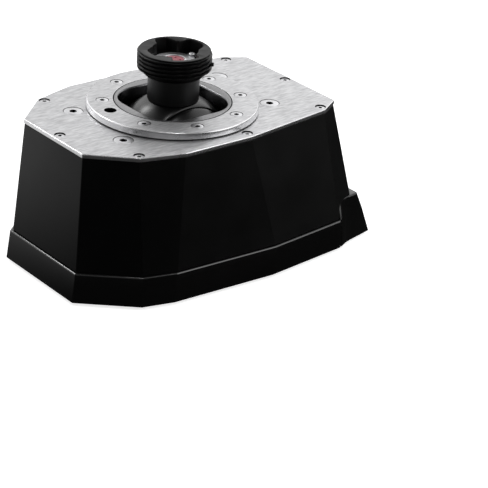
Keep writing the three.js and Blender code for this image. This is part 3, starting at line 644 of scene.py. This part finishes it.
def make_screw(node, kind, degrees):
    """Countersunk screw with a hexagon socket and a fine round on its rim. The socket, and the head
    beyond its lit reach, take the dark material as painted shade.
    """
    head, shank, top = kind["head"], kind["shank"], kind["top"]
    socket = hexagon(kind["hexagon"])
    wide = hexagon(kind["hexagon"] + 0.12)
    depth = head * 0.45
    cone = top - 0.3 - (head - shank)
    profile = [(shank * 0.8, top - kind["length"]), (shank, top - kind["length"] + 0.3)]
    profile += [(shank, cone), (head, top - 0.3), (head, top - 0.15), (head - 0.06, top - 0.05)]
    profile += [(head - 0.18, top), (wide, top), (socket, top - 0.12), (socket, top - depth)]
    profile += [(0.15, top - depth - 0.4)]
    skin = Skin().turned(profile, SMALL_ROUND)
    skin.moved(Matrix.Rotation(math.radians(degrees), 4, "Z"))
    x, y = node_place(node)
    skin.moved(Matrix.Translation((x, y, 0)))
    screw = solid(f"{node}_shape", skin)
    # Painted shade: the socket, and the head past its lit reach, take the dark material.
    for polygon in screw.data.polygons:
        reach = math.hypot(polygon.center.x - x, polygon.center.y - y)
        socket_shade = reach < kind["hexagon"] * 1.12 and polygon.center.z < top - 0.04
        if socket_shade or reach > kind["lit"]:
            polygon.material_index = 1
    finished(screw, "base", "screw_steel", [MATERIALS["screw_steel"], MATERIALS["painted_shade"]], node)


def make_screws():
    for i, node in enumerate(RING_SCREW_NODES):
        make_screw(node, RING_SCREW, 37 * i)
    for i, node in enumerate(LARGE_SCREW_NODES):
        make_screw(node, LARGE_SCREW, 23 * i + 11)
    for i, node in enumerate(SMALL_SCREW_NODES):
        make_screw(node, SMALL_SCREW, 41 * i + 5)


# ---------------------------------------------------------------- casing

def bump_skin(skin, grow, low_z=BASE_Z):
    """Rear bump, its outline moved outwards by grow, with round edges."""
    def at(half, distance=0.0):
        return rounded(inset(mirrored(half), -grow), distance, BUMP_CORNER)
    levels = [(at(BUMP_BOTTOM), low_z), (at(BUMP_MIDDLE), SKIRT_TOP_Z)]
    levels += [
        (at(BUMP_TOP, d), BUMP_TOP_Z + grow - BUMP_EDGE + z) for d, z in round_edge(BUMP_EDGE)
    ]
    return skin.tower([at_height(outline, z) for outline, z in levels])


def make_upper_housing():
    foot = mirrored(CASING_FOOT)
    head = inset(mirrored(PLATE_OUTLINE), GAP)

    def at(z, distance=0.0):
        outline = between(foot, head, SKIRT_TOP_Z, CASING_TOP, z)
        return at_height(rounded(outline, distance, CASING_CORNER), z)

    flange = CASING_TOP - 3
    loops = [at(CASING_BOTTOM + 0.2), at(CASING_TOP - 0.2), at(CASING_TOP, 0.2)]
    loops += [at(CASING_TOP, 6.0), at(flange, 6.0), at(flange, WALL), at(CASING_BOTTOM, WALL)]
    loops += [at(CASING_BOTTOM, 0.2)]
    housing = solid("upper_housing_shape", Skin().tower(loops, ring=True))
    combine(housing, bump_skin(Skin(), GAP))
    finished(housing, "base", "casing", [MATERIALS["casing"]], "upper_housing")


def make_lower_housing():
    lower = mirrored(SKIRT_BOTTOM)
    upper = mirrored(SKIRT_TOP)

    def at(z, distance=0.0):
        outline = between(lower, upper, BASE_Z, SKIRT_TOP_Z, z)
        return at_height(rounded(outline, distance, SKIRT_CORNER), z)

    loops = [at(BASE_Z, WALL), at(BASE_Z, 0.3), at(BASE_Z + 0.3)]
    loops += [at(SKIRT_TOP_Z - SKIRT_EDGE + z, d) for d, z in round_edge(SKIRT_EDGE)]
    loops += [at(SKIRT_TOP_Z, WALL)]
    skirt = solid("lower_housing_shape", Skin().tower(loops, ring=True))
    combine(skirt, bump_skin(Skin(), 0.0), "UNION")
    combine(skirt, Skin().tower([
        at_height(filleted(inset(mirrored(half), WALL), 0.6), z)
        for half, z in (
            (BUMP_BOTTOM, BASE_Z - 1), (BUMP_MIDDLE, SKIRT_TOP_Z), (BUMP_TOP, BUMP_TOP_Z - WALL),
        )
    ]))
    room = inset(mirrored(SKIRT_TOP), WALL + 1)
    combine(skirt, Skin().tower([at_height(room, z) for z in (BASE_Z - 1, BUMP_TOP_Z - 4)]))
    combine(skirt, Skin().block(*PORT_WALL), "UNION")
    combine(skirt, Skin().block(*PORT_RECESS))
    combine(skirt, Skin().block(*PORT_OPENING))
    # Upward faces on the ledge take the lighter copy as a painted highlight.
    for polygon in skirt.data.polygons:
        on_ledge = SKIRT_TOP_Z - 0.5 < polygon.center.z < SKIRT_TOP_Z + 0.01
        polygon.material_index = 1 if on_ledge and polygon.normal.z > 0.15 else 0
    finished(skirt, "base", "gloss_skirt", [MATERIALS["gloss_skirt"], MATERIALS["ledge_edge"]],
             "lower_housing", sharp=30)


def make_feet():
    for i in range(1, 5):
        node = f"rubber_foot_{i}"
        profile = [(3.2, TABLE_Z + 0.5), (3.6, TABLE_Z + 0.1), (4.0, TABLE_Z), (6.4, TABLE_Z)]
        profile += [(6.85, TABLE_Z + 0.2), (7.0, TABLE_Z + 0.6), (7.0, BASE_Z - GAP)]
        foot = solid(f"{node}_shape", Skin().turned(profile, SMALL_ROUND, node_place(node)))
        finished(foot, "base", "foot_rubber", [MATERIALS["foot_rubber"]], node)


# ---------------------------------------------------------------- stick

def sphere_rows(edge, lowest):
    """Rows across a section given as (x, distance from the left-right axis), above a height."""
    rows = []
    for x, radius in edge:
        widest = math.acos(min(0.999, lowest / radius))
        row = []
        for k in range(SMALL_ROUND + 1):
            angle = widest * (2 * k / SMALL_ROUND - 1)
            row.append((x, radius * math.sin(angle), PIVOT_Z + radius * math.cos(angle)))
        rows.append(row)
    return rows


def shell_section(low_x, high_x, radius, thickness, rounded, steps=16):
    """Section of a spherical shell between two planes, with its named edges rounded."""
    def at(x, r):
        return (x, math.sqrt(max(r * r - x * x, 0.01)))
    section = []
    if "low" in rounded:
        section += [at(low_x, radius - 0.4), at(low_x + 0.05, radius - 0.22),
                    at(low_x + 0.17, radius - 0.08)]
    inner_low = low_x + (0.4 if "low" in rounded else 0)
    inner_high = high_x - (0.4 if "high" in rounded else 0)
    for k in range(steps + 1):
        section.append(at(inner_low + (inner_high - inner_low) * k / steps, radius))
    if "high" in rounded:
        section += [at(high_x - 0.17, radius - 0.08), at(high_x - 0.05, radius - 0.22),
                    at(high_x, radius - 0.4)]
    for k in range(steps + 1):
        section.append(at(high_x + (low_x - high_x) * k / steps, radius - thickness))
    return section


def make_dome():
    section = shell_section(
        -DOME_HALF_WIDTH, DOME_HALF_WIDTH, DOME_RADIUS, DOME_WALL, ("low", "high"),
    )
    dome = solid("stick_dome_shape", Skin().sheet(sphere_rows(section, DOME_LOWEST)))
    combine(dome, Skin().turned([(STEM_BORE, -10), (STEM_BORE, 20)], SMALL_ROUND))
    finished(dome, "stick", "stick_black", [MATERIALS["stick_black"]], "stick_dome")


def make_covers():
    inner = DOME_HALF_WIDTH + COVER_SEAM
    for side, word in ((-1, "left"), (1, "right")):
        section = shell_section(inner, COVER_REACH, COVER_RADIUS, COVER_WALL, ("low",), steps=12)
        section = [(side * x, r) for x, r in section]
        rows = sphere_rows(section, COVER_LOWEST)
        cover = solid(f"yoke_cover_{word}_shape", Skin().sheet(rows))
        finished(cover, "yoke", "stick_black", [MATERIALS["stick_black"]], f"yoke_cover_{word}")


def make_stem():
    def ball(r):
        return PIVOT_Z + math.sqrt((DOME_RADIUS + GAP) ** 2 - r * r)
    top = COLLAR_BOTTOM - GAP
    foot = STEM_RADIUS - 0.25
    profile = [(STEM_BORE, ball(STEM_BORE)), (11.0, ball(11.0)), (foot, ball(foot))]
    profile += [(STEM_RADIUS, ball(STEM_RADIUS) + 0.25), (STEM_RADIUS, top - 0.3)]
    profile += [(STEM_RADIUS - 0.3, top), (STEM_BORE, top)]
    stem = solid("stem_tube_shape", Skin().turned(profile, ROUND, ring=True))
    finished(stem, "stick", "stick_black", [MATERIALS["stem_black"]], "stem_tube")


def smooth_step(t):
    t = min(1.0, max(0.0, t))
    return t * t * (3 - 2 * t)


def keyed_radius(grow=0.0):
    """Radius of the keyed opening: a round bore with four keyways that have sloping sides."""
    def radius(angle):
        degrees = (math.degrees(angle) + 44) % 360 - 44
        for (start, low), (end, high) in zip(KEYED_OPENING, KEYED_OPENING[1:]):
            if degrees <= end:
                return low + (high - low) * (degrees - start) / (end - start) + grow
        return KEYED_OPENING[-1][1] + grow
    return radius


def thread_radius(height):
    """Radius of the male thread at a height, as a function of the angle: one right-hand helix."""
    start, end = THREAD_BOTTOM + 0.3, COLLAR_TOP - 0.55
    fade = smooth_step((height - start) / 0.4) * smooth_step((end - height) / 0.4)

    def radius(angle):
        turn = ((height - THREAD_BOTTOM) / THREAD_PITCH - angle / (2 * math.pi)) % 1.0
        ridge = smooth_step((0.36 - abs(turn - 0.5)) / 0.22)
        return THREAD_ROOT + (THREAD_CREST - THREAD_ROOT) * ridge * fade
    return radius


def make_collar():
    profile = [(COLLAR_BORE, COLLAR_BOTTOM), (COLLAR_FOOT - 0.3, COLLAR_BOTTOM)]
    profile += [(COLLAR_FOOT, COLLAR_BOTTOM + 0.1), (THREAD_ROOT - 0.1, THREAD_BOTTOM - 0.1)]
    low, high = THREAD_BOTTOM + 0.1, COLLAR_TOP - 0.5
    for k in range(THREAD_STEPS + 1):
        z = low + (high - low) * k / THREAD_STEPS
        profile.append((thread_radius(z), z))
    profile += [(COLLAR_RIM, COLLAR_TOP - 0.35), (COLLAR_RIM, COLLAR_TOP - 0.2)]
    profile += [(COLLAR_RIM - 0.2, COLLAR_TOP)]
    profile += [(keyed_radius(0.3), COLLAR_TOP), (keyed_radius(0.1), COLLAR_TOP - 0.1)]
    profile += [(keyed_radius(), COLLAR_TOP - 0.35), (keyed_radius(), COLLAR_FLOOR)]
    profile += [(COLLAR_BORE, COLLAR_FLOOR)]
    collar = solid("threaded_collar_shape", Skin().turned(profile, 360, ring=True))
    finished(collar, "stick", "stick_black", [MATERIALS["collar_black"]], "threaded_collar",
             sharp=40)


def make_lock_pin():
    profile = [(0.7, 15.8), (0.95, 16.0), (1.0, 16.2), (1.0, 18.9)]
    profile += [(0.93, 19.15), (0.7, 19.3), (0.2, 19.3)]
    skin = Skin().turned(profile, 24)
    skin.moved(Matrix.Rotation(math.pi / 2, 4, "Y"))
    skin.moved(Matrix.Rotation(math.radians(PIN_ANGLE), 4, "Z"))
    skin.moved(Matrix.Translation((0, 0, PIN_Z)))
    pin = solid("collar_lock_pin_shape", skin)
    finished(pin, "stick", "stick_black", [MATERIALS["stick_black"]], "collar_lock_pin")


def make_grip_socket():
    ear = Vector(node_place("socket_screw"))
    far, reach = ear.length, 2.4
    middle = math.atan2(ear.y, ear.x)

    def flange(angle):
        off = (angle - middle + math.pi) % (2 * math.pi) - math.pi
        across = far * math.sin(off)
        if abs(across) >= reach or math.cos(off) < 0:
            return 10.5
        return max(10.5, far * math.cos(off) + math.sqrt(reach * reach - across * across))

    low, sheet = COLLAR_FLOOR + GAP, SOCKET_SHEET
    profile = [(4.7, COLLAR_BOTTOM - 2.7), (5.2, COLLAR_BOTTOM - 3), (5.5, COLLAR_BOTTOM - 2.7)]
    profile += [(5.5, low), (flange, low), (flange, sheet - 0.1)]
    profile += [(lambda angle: flange(angle) - 0.1, sheet), (5.6, sheet), (5.5, sheet + 0.1)]
    profile += [(5.5, SOCKET_TOP - 0.2), (5.42, SOCKET_TOP - 0.06), (5.25, SOCKET_TOP)]
    profile += [(4.95, SOCKET_TOP), (4.78, SOCKET_TOP - 0.06), (4.7, SOCKET_TOP - 0.2)]
    shell = solid("grip_socket_shape", Skin().turned(profile, ROUND, ring=True))
    combine(shell, Skin().turned([(1.25, 20), (1.25, 27)], 24, ear))
    finished(shell, "stick", "steel", [MATERIALS["socket_shell"]], "grip_socket")


def make_socket_insert():
    top = SOCKET_TOP - 0.5
    profile = [(4.4, COLLAR_FLOOR + 0.12), (4.58, COLLAR_FLOOR + 0.3), (4.58, top - 0.2)]
    profile += [(4.5, top - 0.05), (4.35, top)]
    insert = solid("socket_insert_shape", Skin().turned(profile, SMALL_ROUND))
    holes = Skin()
    for degrees in (45, 135, 180, 225, 315):
        place = on_circle(2.7, degrees)
        holes.turned([(0.6, top - 1.0), (0.6, top - 0.1), (0.75, top + 0.1)], 16, place)
    combine(insert, holes)
    finished(insert, "stick", "socket_insert", [MATERIALS["socket_insert"]], "socket_insert")


def make_socket_screw():
    low = SOCKET_SHEET + GAP
    top = low + 0.8
    profile = [(0.8, 20.8), (1.1, 21.0), (1.1, low), (1.6, low), (1.7, low + 0.1)]
    profile += [(1.7, low + 0.35)]
    profile += [(1.55, low + 0.6), (1.25, top - 0.04), (hexagon(0.75), top)]
    profile += [(hexagon(0.65), top - 0.08), (hexagon(0.65), top - 0.6), (0.1, top - 0.75)]
    skin = Skin().turned(profile, SMALL_ROUND, node_place("socket_screw"))
    screw = solid("socket_screw_shape", skin)
    finished(screw, "stick", "steel", [MATERIALS["screw_steel"]], "socket_screw")


# ---------------------------------------------------------------- centring springs

SPRING_RADIUS = 3.7
SPRING_WIRE = 0.8
SPRING_TURNS = 6
TURN_STEPS = 20
WIRE_STEPS = 10
# Node, body of its fixed end, body of its moving end, direction from the fixed to the moving end.
SPRINGS = [
    ("roll_spring_left", "base", "yoke", (1, 0, 0)),
    ("roll_spring_right", "base", "yoke", (-1, 0, 0)),
    ("pitch_spring_front", "yoke", "stick", (0, 1, 0)),
    ("pitch_spring_rear", "yoke", "stick", (0, -1, 0)),
]


def coil(start, along, length):
    """Closed skin of a round wire wound about an axis."""
    side = Vector((0, 0, 1))
    across = along.cross(side)
    steps = SPRING_TURNS * TURN_STEPS
    rise = length - 2 * SPRING_WIRE
    loops = []
    for k in range(steps + 1):
        turn = 2 * math.pi * SPRING_TURNS * k / steps
        out = math.cos(turn) * side + math.sin(turn) * across
        forward = math.cos(turn) * across - math.sin(turn) * side
        path = (forward * SPRING_RADIUS + along * rise / (2 * math.pi * SPRING_TURNS)).normalized()
        over = path.cross(out)
        centre = start + out * SPRING_RADIUS + along * (SPRING_WIRE + rise * k / steps)
        loops.append([
            tuple(centre + SPRING_WIRE * (math.cos(a) * out + math.sin(a) * over))
            for a in (2 * math.pi * i / WIRE_STEPS for i in range(WIRE_STEPS))
        ])
    return Skin().tower(loops)


def make_springs():
    """Springs wound along their CAD nodes' boxes and put in no body; the bodies that hold their
    ends are listed but not used. In a spring pressed to a joint's limit the turns pass into each
    other and the wire is squashed."""
    for node, fixed, moving, way in SPRINGS:
        along = Vector(way)
        low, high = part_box(node)
        middle, half = (low + high) / 2, (high - low) / 2
        reach = abs(half.dot(along))
        start, end = middle - along * reach, middle + along * reach
        skin = coil((start - CENTRE) / MM, along, 2 * reach / MM)
        spring = solid(f"{node}_shape", skin)
        finished(spring, None, "steel", [MATERIALS["steel"]], node)
        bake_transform(spring)


# ---------------------------------------------------------------- CAD nodes that show as they are

def dress_cad_nodes():
    slots = {row["node"]: row["material_slot"] for row in frame["record"]["subparts"]}
    for node, obj in frame["nodes"].items():
        material = MATERIALS[slots[node]]
        for slot in obj.material_slots:
            slot.material = material


# ---------------------------------------------------------------- stage

CAMERA_AZIMUTH = 49.699
CAMERA_ELEVATION = 26.126
CAMERA_ROLL = 3.501
CAMERA_LENS = 145.457
CAMERA_PLACE = (0.6968, -0.5406, 0.3610)

FLOOR_REACH = 6.0
FLOOR_GLOW = 0.78
FLOOR_DARK = 0.03
FLOOR_PATCH_PLACE = (-0.34, -0.26, 0)
FLOOR_PATCH_REACH = 0.42
FLOOR_PATCH_LIGHT = 0.8

WORLD_BASE = 0.05
LOW_SOFTNESS = 4
HIGH_SOFTNESS = 10
# Soft boxes: azimuth, half width, softness, lowest and highest elevation, strength.
SOFT_BOXES = [
    (-56, 46, 24, -8, 62, 1.0),
    (-112, 22, 14, -8, 44, 0.8),
    (-168, 34, 20, 8, 60, 1.4),
    (128, 20, 12, -8, 60, 1.9),
    (56, 24, 26, 0, 60, 0.14),
]


def direction(azimuth, elevation):
    """Unit vector towards an azimuth, from the front round to the right, and an elevation."""
    a, e = math.radians(azimuth), math.radians(elevation)
    return Vector((math.sin(a) * math.cos(e), -math.cos(a) * math.cos(e), math.sin(e)))


def make_camera():
    back = direction(CAMERA_AZIMUTH, CAMERA_ELEVATION)
    azimuth = math.radians(CAMERA_AZIMUTH)
    side = Vector((math.cos(azimuth), math.sin(azimuth), 0))
    up = back.cross(side)
    roll = math.radians(CAMERA_ROLL)
    across = side * math.cos(roll) + up * math.sin(roll)
    upright = up * math.cos(roll) - side * math.sin(roll)
    data = bpy.data.cameras.new("camera")
    data.sensor_width = 36
    data.lens = CAMERA_LENS
    camera = bpy.data.objects.new("camera", data)
    turn = Matrix((across, upright, back)).transposed().to_4x4()
    camera.matrix_world = Matrix.Translation(CENTRE + Vector(CAMERA_PLACE)) @ turn
    bpy.context.collection.objects.link(camera)
    bpy.context.scene.camera = camera


def math_node(tree, operation, *values):
    """Maths node on links or numbers."""
    node = tree.nodes.new("ShaderNodeMath")
    node.operation = operation
    for socket, value in zip(node.inputs, values):
        if isinstance(value, (int, float)):
            socket.default_value = value
        else:
            tree.links.new(value, socket)
    return node.outputs["Value"]


def smooth_window(tree, value, start, end):
    """0 below start, 1 above end, smooth between; start may be the larger one."""
    node = tree.nodes.new("ShaderNodeMapRange")
    node.interpolation_type = "SMOOTHSTEP"
    node.inputs["From Min"].default_value = start
    node.inputs["From Max"].default_value = end
    tree.links.new(value, node.inputs["Value"])
    return node.outputs["Result"]


def make_floor():
    """Pale floor. The object sees it dark, apart from a lit patch at the front left."""
    material, tree, shader = new_material("floor", roughness=0.9, specular_ior_level=0.1)
    tone = tint(tree, noise(tree, (3, 3, 3)), (0.8, 0.8, 0.8), (0.84, 0.84, 0.84))
    tree.links.new(tone, shader.inputs["Base Color"])
    shader.inputs["Emission Color"].default_value = (1, 1, 1, 1)
    shader.inputs["Emission Strength"].default_value = FLOOR_GLOW
    place = tree.nodes.new("ShaderNodeTexCoord")
    apart = tree.nodes.new("ShaderNodeVectorMath")
    apart.operation = "DISTANCE"
    apart.inputs[1].default_value = FLOOR_PATCH_PLACE
    tree.links.new(place.outputs["Object"], apart.inputs[0])
    patch = smooth_window(tree, apart.outputs["Value"], FLOOR_PATCH_REACH, FLOOR_PATCH_REACH * 0.3)
    glow = tree.nodes.new("ShaderNodeEmission")
    strength = math_node(tree, "MULTIPLY_ADD", patch, FLOOR_PATCH_LIGHT, FLOOR_DARK)
    tree.links.new(strength, glow.inputs["Strength"])
    seen = tree.nodes.new("ShaderNodeLightPath")
    mix = tree.nodes.new("ShaderNodeMixShader")
    tree.links.new(seen.outputs["Is Camera Ray"], mix.inputs[0])
    tree.links.new(glow.outputs[0], mix.inputs[1])
    tree.links.new(shader.outputs[0], mix.inputs[2])
    tree.links.new(mix.outputs[0], tree.nodes["Material Output"].inputs["Surface"])
    mesh = bpy.data.meshes.new("floor")
    r = FLOOR_REACH
    corners = [(-r, -r, 0), (r, -r, 0), (r, r, 0), (-r, r, 0)]
    mesh.from_pydata(corners, [], [(0, 1, 2, 3)])
    mesh.materials.append(material)
    floor = bpy.data.objects.new("floor", mesh)
    bpy.context.collection.objects.link(floor)


def make_world():
    """Studio that the metal reflects. The camera itself sees plain white."""
    world = bpy.data.worlds.new("studio")
    world.use_nodes = True
    tree = world.node_tree
    tree.nodes.clear()
    place = tree.nodes.new("ShaderNodeTexCoord")
    flat = tree.nodes.new("ShaderNodeVectorMath")
    flat.operation = "MULTIPLY"
    flat.inputs[1].default_value = (1, 1, 0)
    unit = tree.nodes.new("ShaderNodeVectorMath")
    unit.operation = "NORMALIZE"
    height = tree.nodes.new("ShaderNodeSeparateXYZ")
    tree.links.new(place.outputs["Generated"], flat.inputs[0])
    tree.links.new(flat.outputs["Vector"], unit.inputs[0])
    tree.links.new(place.outputs["Generated"], height.inputs[0])
    total = WORLD_BASE
    for azimuth, half, soft, low, high, strength in SOFT_BOXES:
        across = tree.nodes.new("ShaderNodeVectorMath")
        across.operation = "DOT_PRODUCT"
        across.inputs[1].default_value = direction(azimuth, 0)
        tree.links.new(unit.outputs["Vector"], across.inputs[0])
        side_edge = [math.cos(math.radians(half + k * soft / 2)) for k in (1, -1)]
        low_edge = [math.sin(math.radians(low + k * LOW_SOFTNESS)) for k in (-1, 1)]
        high_edge = [math.sin(math.radians(high + k * HIGH_SOFTNESS)) for k in (1, -1)]
        side = smooth_window(tree, across.outputs["Value"], *side_edge)
        above = smooth_window(tree, height.outputs["Z"], *low_edge)
        below = smooth_window(tree, height.outputs["Z"], *high_edge)
        box = math_node(tree, "MULTIPLY", math_node(tree, "MULTIPLY", side, above), below)
        total = math_node(tree, "MULTIPLY_ADD", box, strength, total)
    lit = tree.nodes.new("ShaderNodeBackground")
    tree.links.new(total, lit.inputs["Strength"])
    plain = tree.nodes.new("ShaderNodeBackground")
    for background in (lit, plain):
        background.inputs["Color"].default_value = (1, 1, 1, 1)
    seen = tree.nodes.new("ShaderNodeLightPath")
    mix = tree.nodes.new("ShaderNodeMixShader")
    output = tree.nodes.new("ShaderNodeOutputWorld")
    tree.links.new(seen.outputs["Is Camera Ray"], mix.inputs[0])
    tree.links.new(lit.outputs[0], mix.inputs[1])
    tree.links.new(plain.outputs[0], mix.inputs[2])
    tree.links.new(mix.outputs[0], output.inputs["Surface"])
    bpy.context.scene.world = world


def make_light(name, azimuth, elevation, distance, size, power):
    """Square soft light, turned towards the clamp ring."""
    data = bpy.data.lights.new(name, "AREA")
    data.size = size
    data.energy = power
    light = bpy.data.objects.new(name, data)
    towards = direction(azimuth, elevation)
    light.location = CENTRE + towards * distance
    light.rotation_mode = "QUATERNION"
    light.rotation_quaternion = towards.to_track_quat("Z", "Y")
    light.visible_camera = False
    bpy.context.collection.objects.link(light)


def make_stage():
    make_camera()
    make_floor()
    make_world()
    make_light("key", -78, 42, 1.0, 0.18, 1.7)
    make_light("top", 62, 74, 0.9, 0.12, 1.0)
    bpy.context.scene.view_settings.view_transform = "Standard"


make_stage()
dress_cad_nodes()
make_top_plate()
make_clamp_ring()
make_gate_liner()
make_screws()
make_upper_housing()
make_lower_housing()
make_feet()
make_dome()
make_covers()
make_stem()
make_collar()
make_lock_pin()
make_grip_socket()
make_socket_insert()
make_socket_screw()
make_springs()
